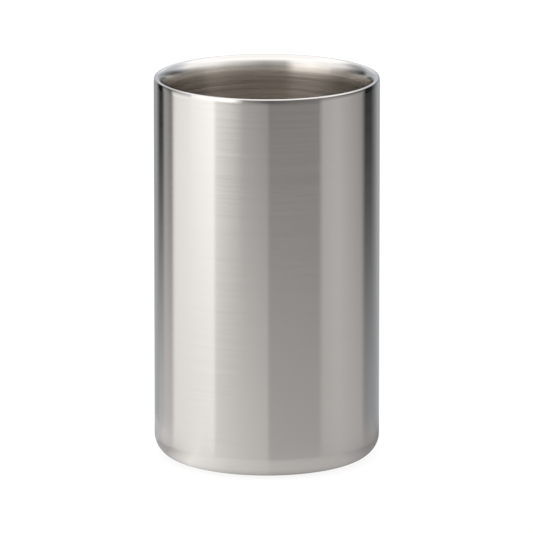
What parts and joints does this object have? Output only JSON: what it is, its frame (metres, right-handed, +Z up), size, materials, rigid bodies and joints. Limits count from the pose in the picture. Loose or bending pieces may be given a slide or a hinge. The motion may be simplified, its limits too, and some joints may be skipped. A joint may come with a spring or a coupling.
{
  "type": "bottle cooler",
  "caption": "Double-walled steel cylinder, open at the top with a rounded rim, that keeps a chilled champagne or wine bottle cold.",
  "frame": {"origin": "centre of the face that the cooler stands on", "axes": "+Z up along the axis of the body, out through the mouth; the body is round, so +X and +Y are free"},
  "size_m": [0.12, 0.12, 0.206],
  "materials": {
    "satin_steel": "satin, finely brushed round the body",
    "liner_steel": "spun, with fine rings; polished at the rolled lip",
    "ground_steel": "ground and polished",
    "plate_steel": "as rolled, dull",
    "weld_steel": "pickled weld",
    "silicone": "smooth, grey",
    "pad_rubber": "matt, fine-grained, black"
  },
  "bodies": {
    "root": {"outer_shell": "satin_steel", "inner_liner": "liner_steel", "rim_weld": "ground_steel", "base_plate": "plate_steel", "base_weld": "weld_steel", "vent_plug": "silicone", "base_pad": "pad_rubber"}
  },
  "joints": []
}
